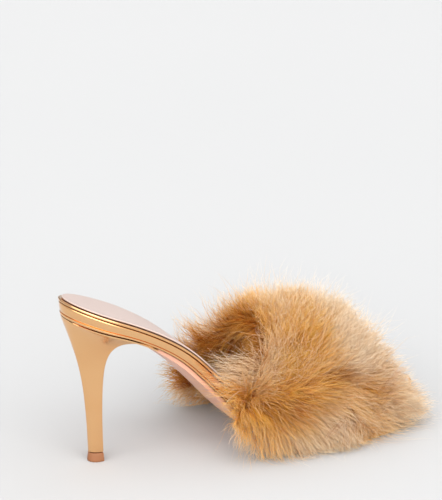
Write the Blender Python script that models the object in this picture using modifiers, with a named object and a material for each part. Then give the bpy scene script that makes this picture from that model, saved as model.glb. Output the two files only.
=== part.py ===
"""Shearling-trimmed mule for the right foot, open at the toe and the back, on a slim covered heel.

X runs from heel to toe, Y towards the inner side of the foot, and Z up from the floor. The origin
is the middle of the heel's top piece, where it stands on the floor.
"""
import math
import random
from collections import namedtuple

import bmesh
import bpy
from mathutils import Vector

# Overall sizes, in metres
LENGTH = 0.2143              # back of the seat to the tip of the toe, measured along the floor
HEEL_SETBACK = 0.0180        # back of the seat to the middle of the heel's foot
SEAT_HEIGHT = 0.0942         # floor to the top of the insole at its back
BALL_WIDTH = 0.0720          # widest part of the insole
TOE_SPRING = 0.0030          # lift of the toe's tip
SEAT_ROUND = 0.0240          # length of the outline's round back end
TOE_ROUND = 0.0330           # length of the outline's round toe end
SEAT_STAND = 0.0450          # over this length at the back the layers' edges stand upright
GAP = 0.0003                 # glue line between two pieces

# Layers of the sole, from the foot down
SOCK_THICK = 0.0009
SOCK_INSET = 0.0020          # the insole's bead shows outside the sock
INSOLE_THICK = 0.0015
PLATFORM_THICK = 0.0050
SEAT_WEDGE = 0.0018          # the platform grows by this towards the back of the seat
OUTSOLE_THICK = 0.0022
OUTSOLE_SKIVE = 0.0010       # thickness of the outsole where it starts at the heel's breast
OUTSOLE_INSET = 0.0028
OUTSOLE_CROWN = 0.0018       # the waist's underside is rounded down by this at its middle
SKIVE_LENGTH = 0.0200
WAIST_RISE = 0.15            # it is rounded in full where the last has this share of its rise

# Heel and its top piece
HEEL_INSET = 0.0012          # the heel's seat stands inside the platform's lip
WING_REACH = 0.0318          # the heel's wings end this far in front of the heel's foot
BREAST_NOTCH = 0.0080        # the breast is this much further back between the wings
STEM_LENGTH = 0.0069
STEM_WIDTH = 0.0084
STEM_ROUNDNESS = 0.75        # 1 for a stem with a half-round back, less for a squarer one
TOP_PIECE_HEIGHT = 0.0050
TOP_PIECE_FLARE = 0.0005     # the top piece spreads this much towards the floor, all round
TOP_PIECE_BEVEL = 0.0006

# Upper
WALL = 0.0020                # leather and its lining
CROWN_HEIGHT = 0.0430        # top of the insole to the inside of the vamp, over the ball
CROWN_SHIFT = 0.0020         # the crown lies towards the inner side
THROAT_SIDE = 0.0840         # the vamp starts here at the sole, in front of the heel's foot
THROAT_TOP = 0.1035          # and here over the instep
TOE_EDGE_SIDE = 0.1740       # the vamp ends here at the sole
TOE_EDGE_TOP = 0.1460        # and here over the toes

VAMP_SKIRT = 0.14            # share of the way up the wall that stands upright beside the sole
VAMP_ROUNDNESS = 0.92        # the lower, the squarer the vamp's shoulders
THROAT_SWEEP = 1.3           # the higher, the more the throat's edge curves at the top
TOE_SWEEP = 0.9              # the same for the toe's edge

# Fur
PILE = 0.0105                # thickness of the dense undercoat
PILE_THINNING = 0.25         # share by which it is thinner at the sole than at the crown
LOCK_LENGTH = 0.0125         # the locks stand this far out of it
LOCK_SPREAD = 0.25           # how much one lock's length differs from the next, as a share
LOCK_STRAY = 0.22            # how far one lock's way strays from its neighbours', as a share
LOCK_SWEEP = 1.3             # how much the locks sweep towards the toe and the throat
LOCK_DROOP = 0.55            # how much the low ones hang
SIDE_SHORTER = 0.30          # share by which the locks beside the sole are shorter
TOE_SHORTER = 0.60           # share by which those over the toes are shorter
COAT_BACK = 0.0040           # the undercoat leans this far back over the throat
COAT_FRONT = 0.0030          # this far forward over the toe's edge
COAT_DROOP = 0.0029          # and hangs this far at the sole
FLOOR_CLEARANCE = 0.0016     # the lowest tip of the fur above the floor

# Fineness of the surfaces
STATION_STEP = 0.0055
END_STATIONS = 7
VAMP_ROWS = 13
VAMP_COLUMNS = 20
FUR_ROWS = 13
FUR_COLUMNS = 20
BREAST_POINTS = 7
PROBE = 0.0005               # half of the step over which a slope is measured
SHARE_PROBE = 0.01           # the same, as a share of the way round or along the vamp
WELD = 0.00001               # points closer than this are one

# From the top of the insole down to each layer
PLATFORM_TOP = INSOLE_THICK + GAP
PLATFORM_BOTTOM = PLATFORM_TOP + PLATFORM_THICK
OUTSOLE_TOP = PLATFORM_BOTTOM + GAP
TREAD_HEIGHT = OUTSOLE_TOP + OUTSOLE_THICK

# The last, one row for each section from the seat to the toe: its place as a share of LENGTH, the
# shares of the seat's rise and of the toe's spring that it has, and its half widths on the outer
# and the inner side as shares of BALL_WIDTH
Section = namedtuple("Section", "along rise spring outer inner")
LAST = (
    Section(0.000, 1.000, 0.0, 0.285, 0.285),
    Section(0.072, 0.926, 0.0, 0.300, 0.300),
    Section(0.179, 0.805, 0.0, 0.322, 0.320),
    Section(0.290, 0.633, 0.0, 0.325, 0.288),
    Section(0.401, 0.354, 0.0, 0.316, 0.285),
    Section(0.466, 0.168, 0.0, 0.338, 0.308),
    Section(0.513, 0.060, 0.0, 0.390, 0.352),
    Section(0.573, 0.000, 0.0, 0.468, 0.415),
    Section(0.652, 0.000, 0.0, 0.514, 0.472),
    Section(0.722, 0.000, 0.0, 0.502, 0.486),
    Section(0.791, 0.000, 0.0, 0.462, 0.458),
    Section(0.907, 0.000, 0.4, 0.372, 0.374),
    Section(1.000, 0.000, 1.0, 0.300, 0.300),
)

# The vamp's crown, from its back to its front: place as a share of LENGTH, and height over the
# insole as a share of CROWN_HEIGHT
Crown = namedtuple("Crown", "along height")
CROWN = (
    Crown(0.400, 1.08),
    Crown(0.573, 1.03),
    Crown(0.652, 0.97),
    Crown(0.791, 0.78),
    Crown(0.907, 0.60),
)

# The two stages in which a lock grows: share of its length, and share of its width that is left
Stage = namedtuple("Stage", "length width")
LOCK_STAGES = (
    Stage(0.55, 0.78),
    Stage(0.45, 0.46),
)

# Side of each layer, from its top edge down: how far down, and how far in from the outline, both
# as shares of its thickness
Edge = namedtuple("Edge", "drop inset")
BEAD_EDGE = (
    Edge(0.00, 0.40),
    Edge(0.14, 0.12),
    Edge(0.45, 0.00),
    Edge(0.80, 0.08),
    Edge(1.00, 0.37),
)
BAND_EDGE = (
    Edge(0.00, 0.14),
    Edge(0.06, 0.07),
    Edge(0.40, 0.08),
    Edge(0.72, 0.18),
    Edge(0.76, 0.27),
    Edge(0.80, 0.15),
    Edge(0.92, 0.14),
    Edge(1.00, 0.24),
)

# The heel's shape from its foot to its seat: share of the height, and how far the back, the sides
# and the breast have spread from the stem to the seat's outline
Flare = namedtuple("Flare", "along back side breast")
FLARE = (
    Flare(0.000, 0.000, 0.000, 0.000),
    Flare(0.250, 0.060, 0.005, -0.020),
    Flare(0.500, 0.185, 0.035, -0.015),
    Flare(0.650, 0.350, 0.110, -0.005),
    Flare(0.740, 0.490, 0.205, 0.010),
    Flare(0.820, 0.640, 0.340, 0.045),
    Flare(0.880, 0.765, 0.500, 0.100),
    Flare(0.925, 0.860, 0.660, 0.185),
    Flare(0.955, 0.920, 0.790, 0.300),
    Flare(0.980, 0.970, 0.905, 0.500),
    Flare(0.993, 0.990, 0.970, 0.740),
    Flare(1.000, 1.000, 1.000, 1.000),
)


def smooth(rows, column, along):
    """Value of a table's column on a curve through its rows that never overshoots them."""
    places = [row.along for row in rows]
    values = [getattr(row, column) for row in rows]
    steps = [(values[i + 1] - values[i]) / (places[i + 1] - places[i]) for i in range(len(rows) - 1)]
    slopes = [steps[0]]
    for before, after in zip(steps, steps[1:]):
        slopes.append(2 * before * after / (before + after) if before * after > 0 else 0.0)
    slopes.append(steps[-1])
    along = min(max(along, places[0]), places[-1])
    i = max(index for index in range(len(rows) - 1) if places[index] <= along)
    span = places[i + 1] - places[i]
    t = (along - places[i]) / span
    start = values[i] * (1 + 2 * t) * (1 - t) ** 2 + slopes[i] * span * t * (1 - t) ** 2
    end = values[i + 1] * t * t * (3 - 2 * t) + slopes[i + 1] * span * t * t * (t - 1)
    return start + end


def share_along(x):
    """Place of x as a share of LENGTH from the back of the seat."""
    return (x + HEEL_SETBACK) / LENGTH


def foot_height(x):
    """Height of the insole's top over the floor."""
    along = share_along(x)
    rise = smooth(LAST, "rise", along) * (SEAT_HEIGHT - TREAD_HEIGHT)
    return TREAD_HEIGHT + rise + smooth(LAST, "spring", along) * TOE_SPRING


def ease(share):
    """Smooth step from 0 to 1."""
    share = min(max(share, 0.0), 1.0)
    return share * share * (3 - 2 * share)


def square_down(x):
    """Direction square to the insole, pointing down."""
    slope = (foot_height(x + PROBE) - foot_height(x - PROBE)) / (2 * PROBE)
    return Vector((slope, 0, -1)).normalized()


def under_foot(x, y, drop):
    """Point of the surface that lies drop below the insole's top, measured square to it.

    At the back of the seat the platform is thicker by its wedge, and the point slides forward
    along its surface until it is under x, so that the edges of the layers stand upright there.
    """
    upright = 1 - ease(share_along(x) * LENGTH / SEAT_STAND)
    drop += SEAT_WEDGE * upright * min(max((drop - PLATFORM_TOP) / PLATFORM_THICK, 0.0), 1.0)
    x -= square_down(x).x * drop * upright
    return Vector((x, y, foot_height(x))) + square_down(x) * drop


def half_width(x, side):
    """Half width of the outline at x on one side, with the round ends of seat and toe."""
    along = share_along(x)
    width = smooth(LAST, side, along) * BALL_WIDTH
    seat = min(max(along * LENGTH / SEAT_ROUND, 0.0), 1.0)
    toe = min(max((1 - along) * LENGTH / TOE_ROUND, 0.0), 1.0)
    return width * math.sqrt(1 - (1 - seat) ** 2) * math.sqrt(1 - (1 - toe) ** 2)


def station_places():
    """Places of the outline's points along X, closer together on the round ends."""
    back = -HEEL_SETBACK
    tip = LENGTH - HEEL_SETBACK
    quarter = [math.pi / 2 * i / END_STATIONS for i in range(END_STATIONS)]
    seat = [back + SEAT_ROUND * (1 - math.cos(angle)) for angle in quarter]
    toe = [tip - TOE_ROUND * (1 - math.cos(angle)) for angle in reversed(quarter)]
    start = back + SEAT_ROUND
    straight = tip - TOE_ROUND - start
    count = round(straight / STATION_STEP)
    return seat + [start + straight * i / count for i in range(count + 1)] + toe


def outline(inset):
    """Outline of the sole as (outer side, inner side), each from the back to the tip of the toe."""
    places = station_places()
    outer = [Vector((x, -half_width(x, "outer"))) for x in places]
    inner = [Vector((x, half_width(x, "inner"))) for x in places]
    ring = outer + inner[-2:0:-1]
    moved = []
    for i, point in enumerate(ring):
        ahead = ring[(i + 1) % len(ring)] - ring[i - 1]
        moved.append(point + Vector((-ahead.y, ahead.x)).normalized() * inset)
    count = len(places)
    return moved[:count], [moved[0]] + moved[:count - 2:-1]


def edge_at(side_points, x):
    """Y of one side of an outline at x."""
    for first, second in zip(side_points, side_points[1:]):
        if first.x <= x <= second.x:
            return first.y + (second.y - first.y) * (x - first.x) / (second.x - first.x)
    return side_points[-1].y


def finish(name, colour, roughness, metallic=0.0):
    """Plain surface of one colour."""
    material = bpy.data.materials.new(name)
    material.use_nodes = True
    shader = material.node_tree.nodes["Principled BSDF"]
    shader.inputs["Base Color"].default_value = (*colour, 1.0)
    shader.inputs["Roughness"].default_value = roughness
    shader.inputs["Metallic"].default_value = metallic
    return material


def add_piece(name, mesh, material, collection):
    """Close a bmesh into an object of the collection, with its faces pointing out."""
    bmesh.ops.recalc_face_normals(mesh, faces=mesh.faces)
    data = bpy.data.meshes.new(name)
    mesh.to_mesh(data)
    mesh.free()
    data.materials.append(material)
    piece = bpy.data.objects.new(name, data)
    collection.objects.link(piece)
    return piece


def bridge(mesh, first, second):
    """Join two closed rings of as many vertices with a band of faces."""
    for i in range(len(first)):
        mesh.faces.new((first[i - 1], first[i], second[i], second[i - 1]))


def span(mesh, outer, inner):
    """Cover an outline with strips from its outer to its inner side."""
    for i in range(len(outer) - 1):
        corners = [outer[i], outer[i + 1], inner[i + 1], inner[i]]
        mesh.faces.new(list(dict.fromkeys(corners)))


def sheet(mesh, grid):
    """Cover a grid of vertices with faces."""
    for near, far in zip(grid, grid[1:]):
        for i in range(len(near) - 1):
            mesh.faces.new((near[i], far[i], far[i + 1], near[i + 1]))


def rim_of(grid):
    """Vertices round the edge of a grid, in order."""
    right = [row[-1] for row in grid[1:-1]]
    left = [row[0] for row in grid[1:-1]]
    return grid[0] + right + grid[-1][::-1] + left[::-1]


def close_sheets(mesh, first_points, second_points):
    """Close two like grids of points into one body, with a wall round their edges."""
    first = [[mesh.verts.new(point) for point in row] for row in first_points]
    second = [[mesh.verts.new(point) for point in row] for row in second_points]
    sheet(mesh, first)
    sheet(mesh, second)
    bridge(mesh, rim_of(first), rim_of(second))
    return first, second


def layer(name, top, thickness, edge, inset, material, collection):
    """One layer of the sole: its outline lofted down the rows of its edge."""
    mesh = bmesh.new()
    rings = []
    for row in edge:
        outer, inner = outline(inset + row.inset * thickness)
        places = outer + inner[-2:0:-1]
        drop = top + row.drop * thickness
        rings.append([mesh.verts.new(under_foot(p.x, p.y, drop)) for p in places])
    count = len(outer)
    for first, second in zip(rings, rings[1:]):
        bridge(mesh, first, second)
    for ring in (rings[0], rings[-1]):
        span(mesh, ring[:count], [ring[0]] + ring[:count - 2:-1])
    return add_piece(name, mesh, material, collection)


def breast_line(x, inset):
    """Points across the shoe along the heel's breast, from the outer to the inner side."""
    outer, inner = outline(inset)
    y_outer = edge_at(outer, x)
    y_inner = edge_at(inner, x)
    line = []
    for i in range(BREAST_POINTS + 2):
        share = i / (BREAST_POINTS + 1)
        bow = 1 - (2 * share - 1) ** 2
        line.append(Vector((x - BREAST_NOTCH * bow, y_outer + (y_inner - y_outer) * share)))
    return line


def sole_thickness(x, across):
    """Thickness of the outsole at x, where across runs from -1 to 1 over its width."""
    grown = ease((x - WING_REACH + BREAST_NOTCH) / SKIVE_LENGTH)
    waist = ease(smooth(LAST, "rise", share_along(x)) / WAIST_RISE)
    crown = OUTSOLE_CROWN * waist * (1 - across * across)
    return OUTSOLE_SKIVE + ((OUTSOLE_THICK - OUTSOLE_SKIVE) + crown) * grown


def make_outsole(material, collection):
    """Leather sole from the heel's breast to the toe, skived thin where it starts."""
    outer, inner = outline(OUTSOLE_INSET)
    first = breast_line(WING_REACH + GAP, OUTSOLE_INSET)
    rows = [first]
    for p, q in zip(outer, inner):
        if p.x > WING_REACH + STATION_STEP / 2:
            rows.append([p.lerp(q, i / (len(first) - 1)) for i in range(len(first))])
    top = [[under_foot(p.x, p.y, OUTSOLE_TOP) for p in row] for row in rows]
    bottom = []
    for row in rows:
        places = [2 * i / (len(row) - 1) - 1 for i in range(len(row))]
        depths = [OUTSOLE_TOP + sole_thickness(p.x, across) for p, across in zip(row, places)]
        bottom.append([under_foot(p.x, p.y, depth) for p, depth in zip(row, depths)])
    mesh = bmesh.new()
    close_sheets(mesh, top, bottom)
    bmesh.ops.remove_doubles(mesh, verts=mesh.verts, dist=WELD)
    return add_piece("outsole", mesh, material, collection)


def stem_ring(points, grow, breast_count):
    """D-shaped section of the heel's stem, round at the back and flat at the breast.

    points are the seat's outline from wing to wing round the back, whose spacing it follows.
    """
    lengths = [0.0]
    for first, second in zip(points, points[1:]):
        lengths.append(lengths[-1] + (second - first).length)
    ring = []
    for length in lengths:
        angle = math.pi * (length / lengths[-1] - 0.5)
        x = STEM_LENGTH / 2 - STEM_LENGTH * math.cos(angle) ** STEM_ROUNDNESS
        ring.append(Vector((x, STEM_WIDTH / 2 * math.sin(angle))))
    for i in range(breast_count, 0, -1):
        ring.append(Vector((STEM_LENGTH / 2, STEM_WIDTH * (i / (breast_count + 1) - 0.5))))
    return [point + point.normalized() * grow for point in ring]


def seat_ring():
    """The heel's seat in plan: from the outer wing round the back to the inner one, and the breast."""
    outer, inner = outline(HEEL_INSET)
    breast = breast_line(WING_REACH, HEEL_INSET)
    limit = WING_REACH - STATION_STEP / 3
    outer_side = [p for p in outer if p.x < limit]
    inner_side = [p for p in inner if p.x < limit]
    horseshoe = [breast[0]] + outer_side[::-1] + inner_side[1:] + [breast[-1]]
    return horseshoe, breast[-2:0:-1]


def make_heel(material, collection):
    """Covered heel: a slim D-shaped stem that flares to the seat and runs out into two wings."""
    horseshoe, breast = seat_ring()
    seat = horseshoe + breast
    stem = stem_ring(horseshoe, 0.0, len(breast))
    back = min(p.x for p in seat)
    foot = TOP_PIECE_HEIGHT + GAP
    lip = OUTSOLE_TOP + OUTSOLE_SKIVE
    mesh = bmesh.new()
    rings = []
    for row in FLARE:
        ring = []
        for low, high in zip(stem, seat):
            forward = (high.x - back) / (WING_REACH - back)
            spread = row.back + (row.breast - row.back) * forward
            x = low.x + (high.x - low.x) * spread
            y = low.y + (high.y - low.y) * row.side
            ceiling = under_foot(x, y, lip)
            ring.append(mesh.verts.new((x, y, foot + (ceiling.z - foot) * row.along)))
        rings.append(ring)
    rings.append([mesh.verts.new(under_foot(p.x, p.y, OUTSOLE_TOP)) for p in seat])
    for vert, p in zip(rings[-2], seat):
        vert.co = under_foot(p.x, p.y, lip)
    for first, second in zip(rings, rings[1:]):
        bridge(mesh, first, second)
    mesh.faces.new(rings[0])
    count = len(horseshoe)
    half = count // 2
    sides = rings[-1][:count]
    for i in range(half - 1):
        mesh.faces.new((sides[i], sides[i + 1], sides[count - 2 - i], sides[count - 1 - i]))
    mesh.faces.new((sides[half - 1], sides[half], sides[half + 1]))
    mesh.faces.new([sides[0], sides[-1]] + rings[-1][count:])
    bmesh.ops.triangulate(mesh, faces=[face for face in mesh.faces if len(face.verts) > 4])
    return add_piece("heel", mesh, material, collection)


def make_top_piece(material, collection):
    """Rubber foot of the heel, a little wider at the floor."""
    horseshoe, breast = seat_ring()
    mesh = bmesh.new()
    rings = []
    levels = (
        (TOP_PIECE_HEIGHT, 0.0),
        (TOP_PIECE_BEVEL, TOP_PIECE_FLARE),
        (0.0, TOP_PIECE_FLARE - TOP_PIECE_BEVEL / 2),
    )
    for height, grow in levels:
        ring = stem_ring(horseshoe, grow, len(breast))
        rings.append([mesh.verts.new((p.x, p.y, height)) for p in ring])
    for first, second in zip(rings, rings[1:]):
        bridge(mesh, first, second)
    mesh.faces.new(rings[0])
    mesh.faces.new(rings[-1])
    return add_piece("top_piece", mesh, material, collection)


def vamp_inside(around, along):
    """Point of the vamp's inner face.

    around runs from -1 at the outer side's lower edge over the crown to 1 at the inner side's, and
    along from 0 at the throat to 1 at the toe's edge. The lowest part stands upright beside the
    sole, and the rest arches over the foot.
    """
    rise = min((1 - abs(around)) / VAMP_SKIRT, 1.0)
    arch = math.pi / 2 * max(1 - VAMP_SKIRT - abs(around), 0.0) / (1 - VAMP_SKIRT)
    lift = math.sin(arch) ** VAMP_ROUNDNESS
    throat = THROAT_SIDE + (THROAT_TOP - THROAT_SIDE) * lift ** THROAT_SWEEP
    toe = TOE_EDGE_SIDE + (TOE_EDGE_TOP - TOE_EDGE_SIDE) * lift ** TOE_SWEEP
    x = throat + (toe - throat) * along
    side = "outer" if around < 0 else "inner"
    sign = -1 if around < 0 else 1
    width = half_width(x, side) + GAP - sign * CROWN_SHIFT
    y = CROWN_SHIFT + sign * width * (1 - (1 - math.cos(arch)) ** VAMP_ROUNDNESS)
    height = smooth(CROWN, "height", share_along(x)) * CROWN_HEIGHT
    foot = under_foot(x, y, PLATFORM_BOTTOM * (1 - rise))
    return foot + Vector((0, 0, height * lift))


def vamp_point(around, along, out):
    """Point that lies out from the vamp's inner face, square to it."""
    across = vamp_inside(around + SHARE_PROBE, along) - vamp_inside(around - SHARE_PROBE, along)
    ahead = vamp_inside(around, along + SHARE_PROBE) - vamp_inside(around, along - SHARE_PROBE)
    return vamp_inside(around, along) + ahead.cross(across).normalized() * out


def vamp_points(rows, columns, out):
    """Grid of points over the vamp, from the throat to the toe's edge, at one distance from it."""
    places = [2 * i / columns - 1 for i in range(columns + 1)]
    return [[vamp_point(around, j / rows, out) for around in places] for j in range(rows + 1)]


def make_vamp(material, collection):
    """The upper: one curved wall over the forefoot, open at throat, toe and underneath."""
    mesh = bmesh.new()
    points = vamp_points(VAMP_ROWS, VAMP_COLUMNS, 0.0)
    sheet(mesh, [[mesh.verts.new(point) for point in row] for row in points])
    data = bpy.data.meshes.new("vamp")
    mesh.to_mesh(data)
    mesh.free()
    data.materials.append(material)
    piece = bpy.data.objects.new("vamp", data)
    collection.objects.link(piece)
    wall = piece.modifiers.new("Leather and lining", "SOLIDIFY")
    wall.thickness = WALL
    wall.offset = 1.0
    wall.use_even_offset = True
    return piece


def coat_point(around, along):
    """Point of the undercoat's outer face, which leans over the vamp's two edges."""
    thick = PILE * (1 - PILE_THINNING * abs(around) ** 3)
    point = vamp_point(around, along, WALL + GAP + thick)
    lean = (COAT_BACK + COAT_FRONT) * along - COAT_BACK
    point += Vector((lean, 0, -COAT_DROOP * around * around))
    point.z = max(point.z, FLOOR_CLEARANCE)
    return point


def grow_lock(face, length, stage, stray):
    """Move a fresh face out by a stage of its lock's length, lean it and draw it in."""
    middle = face.calc_center_median()
    face.normal_update()
    forward = (middle.x - (THROAT_SIDE + TOE_EDGE_SIDE) / 2) / LENGTH
    low = max(0.0, 1 - middle.z / CROWN_HEIGHT)
    way = face.normal + Vector((LOCK_SWEEP * forward, 0, -LOCK_DROOP * low)) + stray
    shorter = 1 - SIDE_SHORTER * low - TOE_SHORTER * ease(2 * forward)
    step = way.normalized() * length * stage.length * shorter
    below = (middle.z - min(vert.co.z for vert in face.verts)) * stage.width
    step.z = max(step.z, FLOOR_CLEARANCE + below - middle.z)
    for vert in face.verts:
        vert.co = middle + (vert.co - middle) * stage.width + step


def make_shearling(material, collection):
    """Deep fur over the vamp: an undercoat with a lock standing on every face of it."""
    chance = random.Random(11)
    places = [2 * i / FUR_COLUMNS - 1 for i in range(FUR_COLUMNS + 1)]
    skin = vamp_points(FUR_ROWS, FUR_COLUMNS, WALL + GAP)
    coat = [[coat_point(around, j / FUR_ROWS) for around in places] for j in range(FUR_ROWS + 1)]
    mesh = bmesh.new()
    skin, coat = close_sheets(mesh, skin, coat)
    bmesh.ops.recalc_face_normals(mesh, faces=mesh.faces)
    outside = {vert for row in coat for vert in row}
    hairy = [face for face in mesh.faces if outside.issuperset(face.verts)]
    edges = [face for face in mesh.faces if len(outside.intersection(face.verts)) == 2]
    hairy += [face for face in edges if abs(face.normal.x) > abs(face.normal.z)]
    locks = []
    for face in hairy:
        length = LOCK_LENGTH * (1 + LOCK_SPREAD * chance.uniform(-1, 1))
        stray = Vector((chance.uniform(-1, 1), chance.uniform(-1, 1), chance.uniform(-1, 1)))
        locks.append((length, stray * LOCK_STRAY))
    for stage in LOCK_STAGES:
        hairy = bmesh.ops.extrude_discrete_faces(mesh, faces=hairy)["faces"]
        for face, (length, stray) in zip(hairy, locks):
            grow_lock(face, length, stage, stray)
    return add_piece("shearling", mesh, material, collection)


def build():
    """Model the whole shoe."""
    for old in list(bpy.data.objects):
        bpy.data.objects.remove(old, do_unlink=True)
    collection = bpy.data.collections.new("shearling_mule")
    bpy.context.scene.collection.children.link(collection)

    gold = (0.80, 0.52, 0.28)
    layer("sock", -GAP - SOCK_THICK, SOCK_THICK, BEAD_EDGE, SOCK_INSET,
          finish("pale leather", (0.85, 0.75, 0.70), 0.55), collection)
    layer("insole", 0.0, INSOLE_THICK, BEAD_EDGE, 0.0,
          finish("gold leather on the insole", gold, 0.22, 0.9), collection)
    layer("platform", PLATFORM_TOP, PLATFORM_THICK, BAND_EDGE, 0.0,
          finish("gold leather on the platform", gold, 0.22, 0.9), collection)
    make_outsole(finish("nude sole leather", (0.72, 0.42, 0.33), 0.45), collection)
    make_heel(finish("gold leather on the heel", gold, 0.22, 0.9), collection)
    make_top_piece(finish("tan rubber", (0.58, 0.27, 0.13), 0.6), collection)
    make_vamp(finish("vamp leather", (0.80, 0.62, 0.50), 0.6), collection)
    make_shearling(finish("golden shearling", (0.62, 0.32, 0.10), 0.9), collection)


build()
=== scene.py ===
"""Looks of a shearling-trimmed mule: mirror-gold leather, pale sock, nude sole and deep golden fur.

X runs from heel to toe, Y towards the inner side of the foot, and Z up from the floor, in metres.
Places on the fur are given by around, from -1 at the outer side's lower edge over 0 at the crown to
1 at the inner side's, and by along, from 0 at the throat to 1 at the toe's edge.
"""

import math
from collections import namedtuple

import bpy
import numpy as np
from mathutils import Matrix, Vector
from mathutils.bvhtree import BVHTree


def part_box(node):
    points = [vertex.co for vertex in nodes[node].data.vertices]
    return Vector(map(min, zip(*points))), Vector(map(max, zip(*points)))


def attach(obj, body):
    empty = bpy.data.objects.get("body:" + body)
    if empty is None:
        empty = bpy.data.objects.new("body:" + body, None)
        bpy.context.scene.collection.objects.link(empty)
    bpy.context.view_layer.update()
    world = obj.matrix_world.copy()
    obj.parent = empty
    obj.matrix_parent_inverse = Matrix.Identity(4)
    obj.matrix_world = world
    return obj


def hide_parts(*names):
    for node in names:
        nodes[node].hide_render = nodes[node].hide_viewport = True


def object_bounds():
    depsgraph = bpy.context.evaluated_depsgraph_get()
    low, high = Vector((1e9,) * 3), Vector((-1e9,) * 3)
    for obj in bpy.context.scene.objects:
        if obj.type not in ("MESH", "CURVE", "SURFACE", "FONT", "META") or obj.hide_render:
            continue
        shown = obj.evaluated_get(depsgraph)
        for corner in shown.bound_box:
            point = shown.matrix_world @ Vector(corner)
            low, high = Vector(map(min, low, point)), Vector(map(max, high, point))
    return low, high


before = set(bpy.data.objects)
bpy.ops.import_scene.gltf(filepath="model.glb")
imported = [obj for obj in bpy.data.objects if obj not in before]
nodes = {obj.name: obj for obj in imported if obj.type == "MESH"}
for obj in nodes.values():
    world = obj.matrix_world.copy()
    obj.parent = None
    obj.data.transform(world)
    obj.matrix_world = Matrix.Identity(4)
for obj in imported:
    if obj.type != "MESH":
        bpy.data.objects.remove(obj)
cad_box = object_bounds()

# Camera: what it looks at, and where it stands
LOOK_AT = Vector((0.0885, 0.0222, 0.0975))
CAMERA_TURN = math.radians(28.0)       # from square to the outer side, round towards the heel
CAMERA_RISE = math.radians(19.19)
CAMERA_AWAY = 1.5
LENS = 198.3                           # millimetres
SENSOR = 36                            # millimetres
SIGHT = 20                             # the camera sees this far, in metres

# Soft lights, each by where it stands: its turn about the shoe from the outer side, its rise over
# the floor and its softness in degrees, and its strength
Light = namedtuple("Light", "name turn rise softness strength")
LIGHTS = (
    Light("overhead", -60, 62, 80, 0.35),
    Light("front_fill", -34, 20, 110, 4.0),
    Light("low_fill", -26, 6, 70, 1.6),
    Light("toe_fill", 62, 32, 110, 1.2),
)
WARM_WHITE = (1.0, 0.985, 0.96)

# The floor, and the room round the shoe from the level of the floor straight up
FLOOR_SIZE = 16
FLOOR_GREYS = ((0.457, 0.460, 0.464, 1), (0.467, 0.470, 0.474, 1))
ROOM_PALE = (0.90, 0.91, 0.93, 1)
ROOM_STOPS = (
    (0.00, (0.10, 0.09, 0.08)),
    (0.16, (0.16, 0.15, 0.14)),
    (0.42, (0.95, 0.96, 0.98)),
    (1.00, (1.10, 1.11, 1.13)),
)

# How a node's triangles are made a smooth piece, with angles in degrees
MERGE = 0.000002                       # corners closer than this are one
QUAD_ANGLE = 50                        # two triangles that turn by less make a quad
QUAD_SHAPE = 70                        # if its corners are off square by less than this
CREASE = 0.75
SMOOTHING = 2                          # levels of subdivision
SHADING_MARGIN = 20                    # edges are shaded smooth up to this much past the hard ones

# The vamp's wall as it is felt from inside, by rays from a line over the insole
LINE_HEIGHT = 0.006                    # the line runs this high over the insole
WIDEST_ANGLE = math.radians(112)       # the wall is felt this far to each side of straight up
WALL_ANGLES = 57
WALL_STEPS = 100
LEAST_FELT = WALL_STEPS / 3            # angles where no more rays meet the wall are left out
WALL_ROWS = 33
WALL_SMOOTHINGS = 3
REACH = 0.09                           # rays start this far out

# Undercoat
PILE = 0.0085                          # its thickness, from the vamp's wall outwards
PILE_THINNING = 0.25                   # share by which it is thinner at the sole
LEAN_BACK = 0.0042                     # it leans over the throat
FLARE_BACK = 0.0100                    # and this much further at the throat's sides
FLARE_SPAN = (0.25, 0.65)              # where round the foot that starts, and where it is full
LEAN_FORWARD = 0.0030                  # it also leans over the toe's edge
DROOP = 0.0029                         # and hangs below the leather's edge at the sole
CLEAR_OF_FLOOR = 0.0014
UNDERFUR_DEPTH = 0.88                  # dense wool fills this share of it
UNDERFUR_ROUND = 0.38                  # less by this at its edges
UNDERFUR_EDGE = 0.07                   # over this share of the vamp
UNDERFUR_WALL = 0.4                    # thickness of the wool's own wall, as a share of the pile
UNDERFUR_CELLS = (80, 40)

# Regions of the fur, each made as a back and a front piece that meet at FUR_MIDDLE
REGIONS = (("outer", -1.01, -0.36), ("crown", -0.36, 0.36), ("inner", 0.36, 1.01))
FUR_MIDDLE = 0.48

# Where the fur parts: from throat to toe, and how far round from crown to sole
PARTING = ((0.0, 0.66), (0.3, 0.57), (0.6, 0.58), (0.8, 0.66), (1.0, 0.78))
PARTING_WIDTH = 0.07                   # the fur's way turns over this far to each side
PARTING_BLEND = 0.1                    # and wool turns into combed hair over this far
PARTING_LIFT = 1.6                     # it stands up along the parting
THROAT_LIFT = 0.8                      # and at the throat
THROAT_LIFT_REACH = 0.08               # over this share of the vamp

# How the fur lies at four stations round the foot: towards the toe, down to the sole and off the
# leather, each at the places LIE_PLACES from throat to toe
LIE_PLACES = (0.0, 0.3, 0.65, 1.0)
Lie = namedtuple("Lie", "station toe down off")
LIES = (
    Lie("crown", (-0.60, -0.20, 0.10, 0.40), (0.0, 0.0, 0.0, 0.0), (0.8, 1.0, 1.0, 0.9)),
    Lie("over", (0.20, 0.45, 0.40, 0.45), (-0.7, -0.6, -0.3, 0.2), (0.5, 0.5, 0.8, 0.8)),
    Lie("under", (0.60, 0.90, 0.95, 0.90), (0.4, 0.3, 0.4, 0.3), (0.4, 0.3, 0.35, 0.4)),
    Lie("sole", (-0.15, 0.25, 0.55, 0.90), (1.0, 1.0, 0.9, 0.4), (0.3, 0.15, 0.15, 0.3)),
)

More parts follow.
